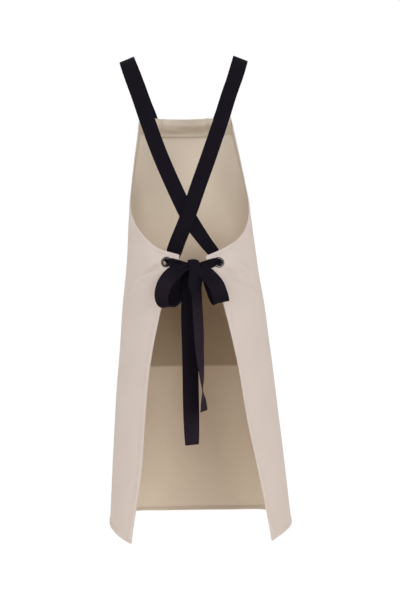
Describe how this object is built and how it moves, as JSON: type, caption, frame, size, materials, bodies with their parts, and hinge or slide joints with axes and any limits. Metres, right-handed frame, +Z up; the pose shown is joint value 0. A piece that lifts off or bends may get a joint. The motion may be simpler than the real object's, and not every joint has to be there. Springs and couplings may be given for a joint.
{
  "type": "cross-back cotton apron",
  "caption": "Cotton bib apron in its worn form: cloth wrapped to the back, webbing straps crossed over the shoulders, passed through metal eyelets and tied in a bow.",
  "frame": {"origin": "midway between the undersides of the two straps where they lie on the shoulders", "axes": "+Z up, +Y to the wearer's front, so the tied back faces -Y, and +X to the wearer's right"},
  "size_m": [0.387, 0.2827, 1.0249],
  "materials": {
    "cloth": "sand-coloured cotton twill, matt",
    "webbing": "black cotton webbing, matt",
    "eyelet": "dark gunmetal plating"
  },
  "bodies": {
    "root": {"apron_body": "cloth", "bib_facing": "cloth", "front_pocket": "cloth", "eyelet_left": "eyelet", "eyelet_right": "eyelet", "strap_left": "webbing", "strap_right": "webbing", "knot": "webbing", "bow_loop_left": "webbing", "bow_loop_right": "webbing", "tail_long": "webbing", "tail_short": "webbing"}
  },
  "joints": []
}
